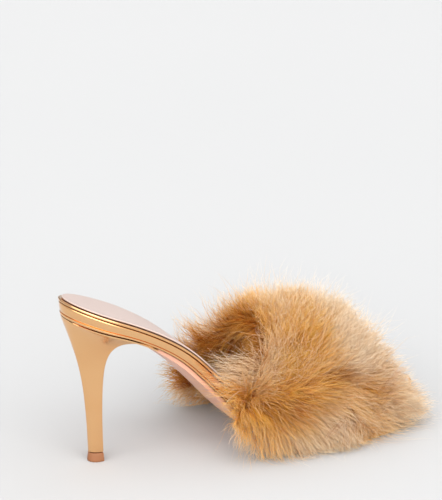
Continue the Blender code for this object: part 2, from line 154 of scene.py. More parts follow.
# Cowlicks on both sides: the middle of each, how far it reaches round and along, and its turn in
# degrees
Swirl = namedtuple("Swirl", "around along girth reach turn")
SWIRLS = (
    Swirl(0.80, 0.58, 0.09, 0.07, 130),
    Swirl(0.84, 0.72, 0.09, 0.06, -110),
    Swirl(0.40, 0.50, 0.16, 0.12, 50),
    Swirl(0.46, 0.80, 0.14, 0.10, -60),
    Swirl(0.30, 0.15, 0.16, 0.12, -45),
)

# One row for each kind of hair: spacing of its wisps, hairs in a wisp, length and radius in
# metres, bends along a hair, how much a wisp draws together, how far a hair strays, how far it
# curls sideways in metres, how pale it is
Hair = namedtuple("Hair", "name spacing count length radius rings clump stray curl pale")
HAIRS = (
    Hair("wool", 0.0028, 8, 0.0120, 0.00011, 2, 0.10, 0.45, 0.0010, 0.00),
    Hair("pile", 0.0026, 10, 0.0160, 0.00011, 4, 0.70, 0.14, 0.0020, 0.00),
    Hair("locks", 0.0031, 9, 0.0205, 0.00010, 5, 0.82, 0.10, 0.0030, 0.10),
    Hair("curls", 0.0044, 5, 0.0215, 0.00014, 6, 0.45, 0.34, 0.0040, 0.55),
    Hair("halo", 0.0042, 6, 0.0320, 0.00007, 4, 0.25, 0.30, 0.0032, 0.80),
)
FRINGE = Hair("fringe", 0.0023, 12, 0.0175, 0.00013, 4, 0.40, 0.26, 0.0030, 0.05)

# One hair
ROOT_DEPTH = 0.90                      # it starts at this share of the undercoat
FIRST_PART = 0.45                      # share of its length in which it goes its first way
LAST_PART = 0.62                       # and share in which it turns to its last way
FIRST_OFF = 0.45                       # its first way: off the leather,
FIRST_COMBED = 0.7                     # as the fur lies,
FIRST_DRIFT = 0.4                      # and by chance
SAG = 0.12                             # how much its last way falls
CURL_TURN = 7.0                        # it curls through this angle, in radians
SIDES = 3
TAPER = 0.72                           # it gets thinner by this share towards its tip
TAPER_POWER = 1.4
GIRTHS = (0.7, 1.25)                   # least and greatest share of its kind's radius

# Wisps: how many there are for each spacing round the vamp, and how their places, their hairs'
# roots, their ways and their lengths differ by chance. Places and roots stray round the vamp,
# where wisps stand 2 apart, and along it, where they stand 1 apart
WISP_DENSITY = 1.25
WISP_STRAY = (1.2, 0.6)
ROOT_STRAY = (0.9, 0.45)
WISP_DRIFT = 0.13
WOOLLY = 1.2                           # above the parting hairs stray more by this share
WISP_LENGTHS = (0.80, 1.10)
HAIR_LENGTHS = (0.72, 1.08)
WOOL_CLUMP = 0.45                      # share of a wisp's drawing together above the parting
CLUMP_POWER = 1.3
CLUMP_CLOSE = 0.6                      # how much closer its hairs are at the tip
PROUD = 0.0100                         # no hair stands further than this outside the solids
SHORTEST = 0.3                         # unless it would keep less than this share of its length

# Length of the hairs: the usual share, more below the parting, and less in the places below
USUAL_LENGTH = 0.94
COMBED_LONGER = 0.20
SOLE_SHORTER = 0.30
SOLE_SPAN = (0.80, 1.0)
TOE_SHORTER = 0.20
TOE_SPAN = (0.7, 1.0)
CREST_SHORTER = 0.12
CREST_SPAN = (0.15, 0.45)

# Waves over the vamp by which the fur is uneven: how many, how fine and how strong
Waves = namedtuple("Waves", "count pace strength")
DRIFT_WAVES = Waves(7, 9.0, 0.30)      # for the wisps' ways
SWELL_WAVES = Waves(6, 7.0, 0.16)      # for their lengths
PALE_WAVES = Waves(7, 12.0, 0.18)      # for their paleness
WAVE_PACES = (0.6, 1.6)                # least and greatest share of a wave's pace
WAVE_GIRTH = 2.2                       # the vamp's size round and along, as the waves see it
WAVE_REACH = 1.7
WAVE_PEAK = 1.6                        # brings the sum of the waves to about 1

# Fringe: hairs on the undercoat's edge wall at the throat and the toe
FRINGE_INSIDE = -0.45                  # it starts this share of the pile inside the vamp's wall
TURNED_IN = 0.30                       # and is turned in over the edge by this share of the vamp
FRINGE_DENSITY = 1.2
FRINGE_ROOT_STRAY = (1.0, 0.5)         # round the opening and by depth
FRINGE_DRIFT = 0.18
FRINGE_LENGTHS = (0.8, 1.2)
FRINGE_HAIR_LENGTHS = (0.7, 1.1)
FRINGE_TOE_SHORTER = 0.25
FRINGE_SIDE_LONGER = 0.95              # at the throat's outer side, over the platform's edge
FRINGE_SIDE_RISE = (0.20, 0.45)        # where round the foot that starts
FRINGE_SIDE_FALL = (0.65, 0.85)        # and ends
FRINGE_INNER = 0.3                     # share of it at the inner side

# Ways of the fringe's hairs. A depth of 0 is the vamp's wall and of 1 is the undercoat's face
FRINGE_TURN = 0.45                     # hairs at this depth go straight out
OUTERMOST_SPAN = (0.45, 0.95)          # those over these depths lie more and more as the fur does
SPLIT_LOOSER = 0.3                     # less so by this share where the fur parts
UPRIGHT_SPAN = (0.6, 1.0)              # and those over these stand up
UPRIGHT_OUT_LESS = 0.6
UPRIGHT_OFF = 0.8
FRINGE_FIRST_OVER = 0.9                # first way: off the leather, by the depth
FRINGE_FIRST_DRIFT = 0.5
FRINGE_LAST_OUT = 0.7                  # last way: out of the opening,
FRINGE_LAST_OUT_SIDE = 0.4             # more at the sides,
FRINGE_LAST_OVER = 0.8                 # off the leather, by the depth,
FRINGE_LAST_COMBED = 1.3               # as the fur lies,
FRINGE_HANG = 0.60                     # and down,
FRINGE_HANG_TOE_LESS = 0.35            # less at the toe
FRINGE_HANG_SIDE_LESS = 0.6            # and at the sides
HANG_SIDE_SPAN = (0.2, 0.5)            # which start and are full here, round the foot

# Shades of the fringe at the throat: painted shade, rusty hairs in the shoe's hollow, with a pale
# rim at the outer side
PAINTED_SHADE_DEPTH = 0.25                    # hairs get rusty painted shade up to this depth,
PAINTED_SHADE_MORE = 0.65                     # this much more from the crown to the inner side,
PAINTED_SHADE_MORE_SPAN = (-0.5, -0.2)
PAINTED_SHADE_LESS = 0.55                     # and this much less low at the outer side
PAINTED_SHADE_LESS_SPAN = (0.50, 0.62)
PAINTED_SHADE_BLEND = 0.15                    # over this depth to each side
# painted shade: how rusty it makes the hairs, and how much less at the toe
PAINTED_SHADE_DARK = 0.9
PAINTED_SHADE_TOE_LESS = 0.5
RIM_PALE = 1.2
RIM_DEPTHS = ((0.05, 0.30), (0.60, 0.95))
RIM_ROUND = ((0.28, 0.40), (0.52, 0.62))

# The fur's patches on both sides, each a soft round spot: its middle, how far it reaches round and
# along, how much paler it makes the fur, and how much darker its roots, some of which is painted
# shade
Patch = namedtuple("Patch", "around along girth reach pale dark")
PATCHES = (
    Patch(0.12, 1.02, 0.32, 0.36, 1.00, 0.00),
    Patch(0.42, 0.80, 0.22, 0.30, 1.20, 0.00),
    Patch(0.40, 0.22, 0.24, 0.20, 0.00, 0.14),
    Patch(0.70, 0.50, 0.10, 0.16, 0.55, 0.00),
    Patch(0.85, 0.36, 0.14, 0.22, 0.95, 0.00),
    Patch(0.90, 1.04, 0.30, 0.30, 1.50, 0.00),
    Patch(0.44, 0.00, 0.18, 0.10, 0.60, 0.00),
    Patch(0.00, 0.30, 0.14, 0.50, 0.45, 0.00),
    Patch(0.58, 0.52, 0.05, 0.14, 0.00, 0.70),
    Patch(0.69, 0.74, 0.09, 0.12, 0.00, 0.40),
    Patch(0.78, 0.58, 0.06, 0.04, 0.00, 1.20),
    Patch(0.82, 0.74, 0.06, 0.04, 0.00, 1.10),
    Patch(0.74, 0.16, 0.12, 0.14, 0.00, 0.18),
    Patch(0.84, 0.66, 0.12, 0.12, 0.55, 0.00),
    # painted shade: the dark band just under the parting
    Patch(0.68, 0.26, 0.05, 0.20, 0.00, 0.50),
    Patch(0.80, 0.08, 0.26, 0.24, 0.12, 0.00),
    Patch(1.00, 0.12, 0.09, 0.20, 0.60, 0.00),
)
PALE_KIND_LOST = 0.8                   # pale kinds of hair lose this share of their paleness
PALE_KIND_SPAN = (0.4, 0.7)            # from the crown down to the sides

# Shades that every hair carries: its wisp's own tone, and how pale and how dark its patch is; the
# dark also holds painted shade
SHADES = ("tone", "pale", "dark")
CREAMY_TONE = 0.55                     # wisps with a higher tone are paler
CREAMY_STRENGTH = 0.6
RUSTY_TONE = 0.36                      # and those with a lower one are darker
RUSTY_STRENGTH = 0.8
DARK_AT_ROOT = 1.25                    # a dark patch is this dark at the root
DARK_LOST = 0.75                       # and less by this at the tip
GLOW = 0.3                             # share of light that comes through a hair
GLOW_LOST = 0.2                        # less by this where it is dark
DOWN = np.array((0.0, 0.0, -1.0))


def smoothstep(value, start, end):
    """0 before start, 1 after end, and a smooth step between them."""
    share = np.clip((value - start) / (end - start), 0.0, 1.0)
    return share * share * (3 - 2 * share)


def band(value, rise, fall):
    """1 between the spans rise and fall, 0 outside them, and a smooth step over each."""
    return smoothstep(value, *rise) - smoothstep(value, *fall)


def unit(vectors):
    """The same directions with a length of one."""
    return vectors / np.maximum(np.linalg.norm(vectors, axis=-1, keepdims=True), 1e-9)


class Channel:
    """A number or colour that varies over a surface. Operators on numbers add Math nodes."""

    def __init__(self, graph, socket):
        self.graph = graph
        self.socket = socket

    def _math(self, operation, first, second):
        return self.graph.node("ShaderNodeMath", {"operation": operation}, {0: first, 1: second})

    def __add__(self, other):
        return self._math("ADD", self, other)

    def __radd__(self, other):
        return self._math("ADD", other, self)

    def __sub__(self, other):
        return self._math("SUBTRACT", self, other)

    def __rsub__(self, other):
        return self._math("SUBTRACT", other, self)

    def __mul__(self, other):
        return self._math("MULTIPLY", self, other)

    def __rmul__(self, other):
        return self._math("MULTIPLY", other, self)

    def clipped(self):
        """The same number, held between 0 and 1."""
        return self.graph.node("ShaderNodeClamp", {}, {"Value": self})


class Graph:
    """A tree of shader nodes, and the one way in which nodes are added to it."""

    def __init__(self, tree):
        self.tree = tree

    def plug(self, socket, value):
        """Link a socket to a channel, or set its value."""
        if isinstance(value, Channel):
            self.tree.links.new(value.socket, socket)
        else:
            socket.default_value = value

    def node(self, kind, settings, sockets, out=0):
        """Add a node of a kind, with its settings first and then its sockets; one output of it."""
        node = self.tree.nodes.new(kind)
        for name, value in settings.items():
            if name == "stops":
                self.set_stops(node.color_ramp, value)
            else:
                setattr(node, name, value)
        for name, value in sockets.items():
            self.plug(node.inputs[name], value)
        return Channel(self, node.outputs[out])

    @staticmethod
    def set_stops(ramp, stops):
        """Give a colour ramp its stops, each a place and a colour."""
        while len(ramp.elements) < len(stops):
            ramp.elements.new(1.0)
        for element, (place, shade) in zip(ramp.elements, stops):
            element.position = place
            element.color = (*shade[:3], 1.0)

    def ramp(self, value, stops):
        """Colour for a number."""
        return self.node("ShaderNodeValToRGB", {"stops": stops}, {"Fac": value})

    def mix(self, share, first, second):
        """Colour between two others."""
        settings = {"data_type": "RGBA"}
        return self.node("ShaderNodeMix", settings, {0: share, 6: first, 7: second}, 2)


class Finish(Graph):
    """One material: its Principled shader, and the nodes that vary it over the surface."""

    def __init__(self, name, constants):
        self.material = bpy.data.materials.new(name)
        self.material.use_nodes = True
        super().__init__(self.material.node_tree)
        self.shader = self.tree.nodes["Principled BSDF"]
        for socket, value in constants.items():
            self.shader.inputs[socket].default_value = value

    def vary(self, **sockets):
        """Feed sockets of the shader, whose names are written with _ for a space."""
        for name, value in sockets.items():
            self.plug(self.shader.inputs[name.replace("_", " ")], value)

    def place(self, stretch=(1, 1, 1)):
        """Object coordinates, stretched along each axis."""
        coordinates = self.node("ShaderNodeTexCoord", {}, {}, "Object")
        return self.node("ShaderNodeMapping", {}, {"Vector": coordinates, "Scale": stretch})

    def attribute(self, name):
        """A number that the mesh stores at its points."""
        return self.node("ShaderNodeAttribute", {"attribute_name": name}, {}, "Fac")

    def noise(self, place, scale, detail=2.0, roughness=0.5):
        """Soft noise between 0 and 1."""
        sockets = {"Vector": place, "Scale": scale, "Detail": detail, "Roughness": roughness}
        return self.node("ShaderNodeTexNoise", {}, sockets)

    def bump(self, height, distance, strength=1.0):
        """Normal for a height in metres times distance."""
        sockets = {"Height": height, "Distance": distance, "Strength": strength}
        return self.node("ShaderNodeBump", {}, sockets)

    def glow(self, shade):
        """Light of one colour that comes through a surface."""
        return self.node("ShaderNodeBsdfTranslucent", {}, {"Color": shade})

    def blend(self, share, first, second):
        """Surface between two others."""
        return self.node("ShaderNodeMixShader", {}, {0: share, 1: first, 2: second})


def colour(red, green, blue):
    """Shader colour for a colour on the screen, each part from 0 to 255."""
    parts = [part / 255 for part in (red, green, blue)]
    linear = [p / 12.92 if p <= 0.04045 else ((p + 0.055) / 1.055) ** 2.4 for p in parts]
    return (*linear, 1.0)


def deselect():
    """Leave edit mode with nothing selected."""
    if bpy.context.object and bpy.context.object.mode != "OBJECT":
        bpy.ops.object.mode_set(mode="OBJECT")
    bpy.ops.object.select_all(action="DESELECT")


def pick(piece):
    """Select one piece alone and make it active."""
    deselect()
    piece.select_set(True)
    bpy.context.view_layer.objects.active = piece


def apply_modifier(piece, kind, **settings):
    """Add a modifier to a piece and apply it."""
    pick(piece)
    modifier = piece.modifiers.new(kind.title(), kind)
    for name, value in settings.items():
        setattr(modifier, name, value)
    bpy.ops.object.modifier_apply(modifier=modifier.name)


def dress(piece, finish, node):
    """Give a piece its finish, say what it rides on, and hide the node that it stands for."""
    piece.data.materials.clear()
    piece.data.materials.append(finish.material)
    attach(piece, "root")
    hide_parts(node)


def refined(node, name, sharp):
    """Smooth piece from a copy of a node: merged into quads, hard edges creased, subdivided."""
    pick(nodes[node])
    bpy.ops.object.duplicate()
    piece = bpy.context.object
    piece.name = name
    piece.data.name = name
    piece.parent = None
    bpy.ops.mesh.customdata_custom_splitnormals_clear()
    bpy.ops.object.mode_set(mode="EDIT")
    bpy.ops.mesh.select_all(action="SELECT")
    bpy.ops.mesh.remove_doubles(threshold=MERGE)
    bpy.ops.mesh.tris_convert_to_quads(
        face_threshold=math.radians(QUAD_ANGLE),
        shape_threshold=math.radians(QUAD_SHAPE),
    )
    bpy.ops.mesh.select_all(action="DESELECT")
    bpy.ops.mesh.select_mode(type="EDGE")
    bpy.ops.mesh.edges_select_sharp(sharpness=math.radians(sharp))
    bpy.ops.transform.edge_crease(value=CREASE)
    bpy.ops.object.mode_set(mode="OBJECT")
    apply_modifier(piece, "SUBSURF", levels=SMOOTHING, render_levels=SMOOTHING)
    pick(piece)
    bpy.ops.object.shade_smooth_by_angle(angle=math.radians(sharp + SHADING_MARGIN))
    return piece


def feel_rows():
    """For each angle round the foot: its way, and where and how far out rays meet the vamp."""
    depsgraph = bpy.context.evaluated_depsgraph_get()
    vamp = BVHTree.FromObject(nodes["vamp"], depsgraph)
    insole = BVHTree.FromObject(nodes["insole"], depsgraph)
    low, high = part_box("vamp")
    places = np.linspace(low.x, high.x, WALL_STEPS)
    line = []
    for x in places:
        floor = insole.ray_cast(Vector((x, 0, REACH)), Vector(DOWN))[0]
        line.append(floor.z + LINE_HEIGHT)
    rows = []
    for angle in np.linspace(-WIDEST_ANGLE, WIDEST_ANGLE, WALL_ANGLES):
        way = Vector((0, math.sin(angle), math.cos(angle)))
        felt = []
        for x, z in zip(places, line):
            start = Vector((x, 0, z)) + way * REACH
            place, _, _, distance = vamp.ray_cast(start, -way, REACH)
            if place is not None:
                felt.append((x, z, REACH - distance))
        if len(felt) > LEAST_FELT:
            rows.append((way, np.array(felt)))
    return rows


Wall = namedtuple("Wall", "points normals fores inwards")


def feel_wall():
    """Grid of points on the vamp's outer face, and its normals and two directions along it.

    The grid has a row for each angle round the foot, from the outer side's lower edge over the
    crown to the inner side's, and a column for each place from the throat to the toe's edge.
    """
    shares = np.linspace(0, 1, WALL_ROWS)
    points = []
    for way, felt in feel_rows():
        x = felt[0, 0] + (felt[-1, 0] - felt[0, 0]) * shares
        z = np.interp(x, felt[:, 0], felt[:, 1])
        radius = np.interp(x, felt[:, 0], felt[:, 2])
        points.append(np.stack([x, radius * way.y, z + radius * way.z], -1))
    points = np.array(points)
    for _ in range(WALL_SMOOTHINGS):
        points[1:-1] = (points[:-2] + 2 * points[1:-1] + points[2:]) / 4
        points[:, 1:-1] = (points[:, :-2] + 2 * points[:, 1:-1] + points[:, 2:]) / 4
    fores = unit(np.gradient(points, axis=1))
    inwards = unit(np.gradient(points, axis=0))
    return Wall(points, unit(np.cross(fores, inwards)), fores, inwards)


WALL = feel_wall()


def on_wall(grid, around, along):
    """Values of a grid over the vamp at each place."""
    row = (np.clip(around, -1, 1) + 1) / 2 * (grid.shape[0] - 1)
    column = np.clip(along, 0, 1) * (grid.shape[1] - 1)
    i = np.minimum(row.astype(int), grid.shape[0] - 2)
    j = np.minimum(column.astype(int), grid.shape[1] - 2)
    s = (row - i)[..., None]
    t = (column - j)[..., None]
    near = grid[i, j] * (1 - t) + grid[i, j + 1] * t
    far = grid[i + 1, j] * (1 - t) + grid[i + 1, j + 1] * t
    return near * (1 - s) + far * s


def wall_length(line):
    """Length of a line of the vamp's grid."""
    return np.linalg.norm(np.diff(line, axis=0), axis=1).sum()


def pile_point(around, along, share):
    """Point in the undercoat: at share 0 on the vamp's wall, at 1 on the undercoat's face."""
    depth = PILE * (1 - PILE_THINNING * np.abs(around) ** 3) * share
    place = on_wall(WALL.points, around, along)
    place = place + on_wall(WALL.normals, around, along) * depth[..., None]
    flare = FLARE_BACK * smoothstep(np.abs(around), *FLARE_SPAN) * (1 - along) ** 3
    lean = (LEAN_BACK + LEAN_FORWARD) * along - LEAN_BACK
    place[..., 0] += (lean - flare) * share
    place[..., 2] -= DROOP * around ** 2 * share
    place[..., 2] = np.maximum(place[..., 2], CLEAR_OF_FLOOR)
    return place


def waves(around, along, kind, chance):
    """Uneven but smooth numbers, up to about the kind's strength to either side of 0."""
    total = 0
    for _ in range(kind.count):
        turn = chance.uniform(0, 2 * math.pi)
        pace = kind.pace * chance.uniform(*WAVE_PACES)
        start = chance.uniform(0, 2 * math.pi)
        way = WAVE_GIRTH * around * math.cos(turn) + WAVE_REACH * along * math.sin(turn)
        total = total + np.sin(pace * way + start)
    return total / math.sqrt(kind.count / 2) / WAVE_PEAK * kind.strength


def parting(along):
    """How far round the foot the fur parts, at each place from throat to toe."""
    places, rounds = zip(*PARTING)
    return np.interp(along, places, rounds)


def below_parting(around, along):
    """0 above the parting, 1 below it, and a smooth step across it."""
    middle = parting(along)
    return smoothstep(np.abs(around), middle - PARTING_BLEND, middle + PARTING_BLEND)


def away_from(spot, around, along):
    """Square of how far each place is from a spot, where 1 is as far as the spot reaches."""
    off_around = (np.abs(around) - spot.around) / spot.girth
    off_along = (along - spot.along) / spot.reach
    return off_around ** 2 + off_along ** 2


def lie_along(lie, along):
    """One station's lie at each place from throat to toe."""
    parts = [np.interp(along, LIE_PLACES, part) for part in (lie.toe, lie.down, lie.off)]
    return np.stack(parts, -1)


def comb(around, along):
    """Way that the fur lies at each place."""
    away = np.abs(around)
    middle = parting(along)
    crown, over, under, sole = [lie_along(lie, along) for lie in LIES]
    above = crown + (over - crown) * smoothstep(away, 0.0, middle)[..., None]
    below = under + (sole - under) * smoothstep(away, middle, 1.0)[..., None]
    share = smoothstep(away, middle - PARTING_WIDTH, middle + PARTING_WIDTH)
    toe, down, off = np.moveaxis(above + (below - above) * share[..., None], -1, 0)
    off = off + PARTING_LIFT * share * (1 - share)
    off = off + THROAT_LIFT * np.exp(-(along / THROAT_LIFT_REACH) ** 2)
    turn = np.zeros_like(away)
    for swirl in SWIRLS:
        turn += math.radians(swirl.turn) * np.exp(-away_from(swirl, around, along))
    turned_toe = toe * np.cos(turn) - down * np.sin(turn)
    turned_down = toe * np.sin(turn) + down * np.cos(turn)
    way = on_wall(WALL.fores, around, along) * turned_toe[..., None]
    way = way + on_wall(WALL.normals, around, along) * off[..., None]
    way = way + on_wall(WALL.inwards, around, along) * (turned_down * np.sign(around))[..., None]
    return unit(way)


def hair_length(around, along):
    """Share of a hair's full length at each place."""
    away = np.abs(around)
    combed = smoothstep(away, parting(along), parting(along) + PARTING_BLEND)
    share = USUAL_LENGTH + COMBED_LONGER * combed
    share -= SOLE_SHORTER * smoothstep(away, *SOLE_SPAN)
    share -= TOE_SHORTER * smoothstep(along, *TOE_SPAN)
    return share - CREST_SHORTER * (1 - smoothstep(away, *CREST_SPAN))


def bow(hair, root, first, last, length, chance):
    """Points along each hair, which bends from its first way to its last and curls a little."""
    bend = root + first * (length * FIRST_PART)[..., None]
    tip = bend + last * (length * LAST_PART)[..., None]
    side = unit(np.cross(last, unit(chance.normal(0, 1, last.shape))))
    phase = chance.uniform(0, 2 * math.pi, length.shape)[..., None]
    line = []
    for i in range(hair.rings + 1):
        t = i / hair.rings
        curl = (np.sin(phase + CURL_TURN * t) - np.sin(phase)) * hair.curl * t
        line.append(root * (1 - t) ** 2 + bend * 2 * t * (1 - t) + tip * t * t + side * curl)
    return np.stack(line, -2)


def paths(hair, around, along, length, drift, chance):
    """Points along hairs that stand on the undercoat's face, from root to tip."""
    root = pile_point(around, along, np.full_like(around, ROOT_DEPTH))
    way = comb(around, along)
    off = on_wall(WALL.normals, around, along)
    first = unit(off * FIRST_OFF + way * FIRST_COMBED + drift * FIRST_DRIFT)
    last = unit(way + DOWN * SAG + drift)
    return bow(hair, root, first, last, length, chance)


def even_steps(count):
    """Middles of so many equal steps from 0 to 1."""
    return (np.arange(count) + 0.5) / count


def wisp_grid(hair, chance):
    """Places of a kind of hair's wisps over the undercoat, and how many lie round and along it."""
    points = WALL.points
    columns = round(wall_length(points[:, WALL_ROWS // 2]) * WISP_DENSITY / hair.spacing)
    rows = round(wall_length(points[len(points) // 2]) / hair.spacing)
    around, along = np.meshgrid(even_steps(columns) * 2 - 1, even_steps(rows))
    stray_around, stray_along = WISP_STRAY
    around = around + chance.uniform(-1, 1, around.shape) * stray_around / columns
    along = along + chance.uniform(-1, 1, along.shape) * stray_along / rows
    return around.ravel(), along.ravel(), columns, rows


def make_hairs(hair, chance):
    """One kind of hair in wisps all over the undercoat, as a mesh for each region."""
    around, along, columns, rows = wisp_grid(hair, chance)
    wisps = len(around)
    drift = on_wall(WALL.inwards, around, along)
    drift = drift * waves(around, along, DRIFT_WAVES, chance)[:, None]
    fores = on_wall(WALL.fores, around, along)
    drift += fores * waves(around, along, DRIFT_WAVES, chance)[:, None]
    looser = 1 + WOOLLY * (1 - below_parting(around, along))
    drift += chance.normal(0, WISP_DRIFT, (wisps, 3)) * looser[:, None]
    swell = 1 + waves(around, along, SWELL_WAVES, chance)
    length = hair_length(around, along) * swell * chance.uniform(*WISP_LENGTHS, wisps)
    length = hair.length * length
    heart = paths(hair, around, along, length, drift, chance)

    many = (wisps, hair.count)
    stray_around, stray_along = ROOT_STRAY
    own_around = around[:, None] + chance.normal(0, stray_around, many) / columns
    own_around = np.clip(own_around, -1, 1)
    own_along = along[:, None] + chance.normal(0, stray_along, many) / rows
    own_along = np.clip(own_along, 0, 1)
    own_drift = chance.normal(0, hair.stray, (*many, 3)) * looser[:, None, None]
    own_drift = drift[:, None, :] + own_drift
    own_length = length[:, None] * chance.uniform(*HAIR_LENGTHS, many)
    lines = paths(hair, own_around, own_along, own_length, own_drift, chance)
    lines = gather(lines, heart, hair, around, along)

    tone = np.repeat(chance.uniform(0, 1, wisps), hair.count)
    own_around, own_along = own_around.ravel(), own_along.ravel()
    pale, dark = patches(own_around, own_along)
    pale += waves(own_around, own_along, PALE_WAVES, chance)
    pale += hair.pale * (1 - PALE_KIND_LOST * smoothstep(np.abs(own_around), *PALE_KIND_SPAN))
    return by_region(hair, lines, own_around, own_along, (tone, pale, dark), chance)


def gather(lines, heart, hair, around, along):
    """Draw the hairs of each wisp together towards their tips, inside the fur's bounds."""
    clump = hair.clump * (WOOL_CLUMP + (1 - WOOL_CLUMP) * below_parting(around, along))
    t = np.linspace(0, 1, hair.rings + 1)[None, None, :, None]
    drawn = clump[:, None, None, None] * t ** CLUMP_POWER
    offset = (lines[:, :, :1] - heart[:, None, :1]) * (1 - CLUMP_CLOSE * t)
    lines = lines * (1 - drawn) + (heart[:, None] + offset) * drawn
    return within_bounds(lines.reshape(-1, hair.rings + 1, 3))


def within_bounds(lines):
    """Shorten hairs that stand too far outside the solids, and lift them off the floor."""
    low = np.array(cad_box[0]) - PROUD
    high = np.array(cad_box[1]) + PROUD
    far = np.maximum(lines - high, low - lines).max(-1).max(-1)
    reach = np.linalg.norm(lines[:, -1] - lines[:, 0], axis=-1)
    kept = np.clip(1 - np.maximum(far, 0) / reach, SHORTEST, 1)[:, None, None]
    lines = lines[:, :1] + (lines - lines[:, :1]) * kept
    lines[..., 2] = np.maximum(lines[..., 2], CLEAR_OF_FLOOR)
    return lines


def fringe_grid(hair):
    """Places of the fringe's wisps round the opening and by depth, and how many lie each way."""
    columns = round(wall_length(WALL.points[:, 0]) * FRINGE_DENSITY / hair.spacing)
    rows = round(PILE * (1 - FRINGE_INSIDE) / hair.spacing)
    depths = FRINGE_INSIDE + (1 - FRINGE_INSIDE) * even_steps(rows)
    around, depth = np.meshgrid(even_steps(columns) * 2 - 1, depths)
    return around.ravel(), depth.ravel(), columns, rows


def fringe_length(hair, around, end, chance):
    """Length of each of the fringe's wisps, which are long at the throat's outer side."""
    side = band(np.abs(around), FRINGE_SIDE_RISE, FRINGE_SIDE_FALL) * (1 - end)
    side[around > 0] *= FRINGE_INNER
    share = 1 - FRINGE_TOE_SHORTER * end + FRINGE_SIDE_LONGER * side
    return hair.length * chance.uniform(*FRINGE_LENGTHS, len(around)) * share


def fringe_shades(hair, around, depth, end):
    """How pale the fringe's hairs are, and how dark, with painted shade where the throat's hollow
    lies.
    """
    pale, dark = patches(around, np.full(around.size, float(end)))
    shaded = PAINTED_SHADE_MORE * smoothstep(around, *PAINTED_SHADE_MORE_SPAN)
    shaded -= PAINTED_SHADE_LESS * smoothstep(-around, *PAINTED_SHADE_LESS_SPAN)
    shaded = PAINTED_SHADE_DEPTH + shaded * (1 - end)
    # inside: how far each hair lies in the painted shade of the shoe's hollow; it loses its
    # paleness and turns rusty
    inside = smoothstep(-depth, -shaded - PAINTED_SHADE_BLEND, PAINTED_SHADE_BLEND - shaded)
    rim = band(depth, *RIM_DEPTHS) * band(-around, *RIM_ROUND) * (1 - end)
    pale = (pale + hair.pale) * (1 - inside) + RIM_PALE * rim
    dark += PAINTED_SHADE_DARK * inside * (1 - PAINTED_SHADE_TOE_LESS * end)
    return pale, dark


def make_fringe(hair, chance, end):
    """Hairs on the fur's edge wall at the throat, where end is 0, or at the toe, where it is 1."""
    around, depth, columns, rows = fringe_grid(hair)
    wisps = len(around)
    many = (wisps, hair.count)
    stray_around, stray_depth = FRINGE_ROOT_STRAY
    own_around = around[:, None] + chance.normal(0, stray_around, many) / columns
    own_around = np.clip(own_around, -1, 1)
    own_depth = depth[:, None] + chance.normal(0, stray_depth, many) / rows
    own_depth = np.clip(own_depth, FRINGE_INSIDE, 1)
    turned_in = TURNED_IN * (depth < 0) * chance.uniform(0, 1, wisps)
    along = end + turned_in * (1 - 2 * end)
    own_along = np.repeat(along[:, None], hair.count, 1)
    drift = chance.normal(0, FRINGE_DRIFT, (wisps, 3))
    own_drift = drift[:, None, :] + chance.normal(0, hair.stray, (*many, 3))
    length = fringe_length(hair, around, end, chance)
    own_length = length[:, None] * chance.uniform(*FRINGE_HAIR_LENGTHS, many)
    heart = fringe_paths(hair, around, along, depth, length, drift, end, chance)
    lines = fringe_paths(
        hair, own_around, own_along, own_depth, own_length, own_drift, end, chance
    )
    lines = gather(lines, heart, hair, around, along)
    tone = np.repeat(chance.uniform(0, 1, wisps), hair.count)
    own_around = own_around.ravel()
    pale, dark = fringe_shades(hair, own_around, own_depth.ravel(), end)
    own_along = np.full(own_around.size, float(end))
    return by_region(hair, lines, own_around, own_along, (tone, pale, dark), chance)


def fringe_paths(hair, around, along, depth, length, drift, end, chance):
    """Points along hairs that stand on an edge wall, and hang over it and into the opening."""
    away = np.abs(around)
    off = on_wall(WALL.normals, around, along)
    out = unit(on_wall(WALL.fores, around, along)) * (2 * end - 1)
    root = pile_point(around, along, depth)
    over = (depth - FRINGE_TURN)[..., None]
    side = smoothstep(away, *HANG_SIDE_SPAN)[..., None]
    split = np.exp(-((away - parting(end)) / PARTING_WIDTH) ** 2)
    combed = (smoothstep(depth, *OUTERMOST_SPAN) * (1 - SPLIT_LOOSER * split))[..., None]
    upright = smoothstep(depth, *UPRIGHT_SPAN)[..., None]
    first = out * (1 - UPRIGHT_OUT_LESS * upright) + drift * FRINGE_FIRST_DRIFT
    first = unit(first + off * (over * FRINGE_FIRST_OVER + UPRIGHT_OFF * upright))
    hang = FRINGE_HANG - FRINGE_HANG_TOE_LESS * end
    last = out * (FRINGE_LAST_OUT + FRINGE_LAST_OUT_SIDE * side) + off * over * FRINGE_LAST_OVER
    last = unit(last + DOWN * hang * (1 - FRINGE_HANG_SIDE_LESS * side))
    as_fur = comb(around, along) * FRINGE_LAST_COMBED
    last = unit(last * (1 - combed) + as_fur * combed + drift)
    return bow(hair, root, first, last, length, chance)


def by_region(hair, lines, around, along, shades, chance):
    """Meshes of hairs, one for each region of the fur."""
    girth = hair.radius * chance.uniform(*GIRTHS, len(lines))
    pieces = {}
    for name, start, end in REGIONS:
        for part, where in (("back", along < FUR_MIDDLE), ("front", along >= FUR_MIDDLE)):
            mine = where & (around > start) & (around <= end)
            if mine.any():
                own_shades = [shade[mine] for shade in shades]
                piece = hair_mesh(hair, lines[mine], girth[mine], own_shades, chance)
                pieces[name + "_" + part] = piece
    return pieces


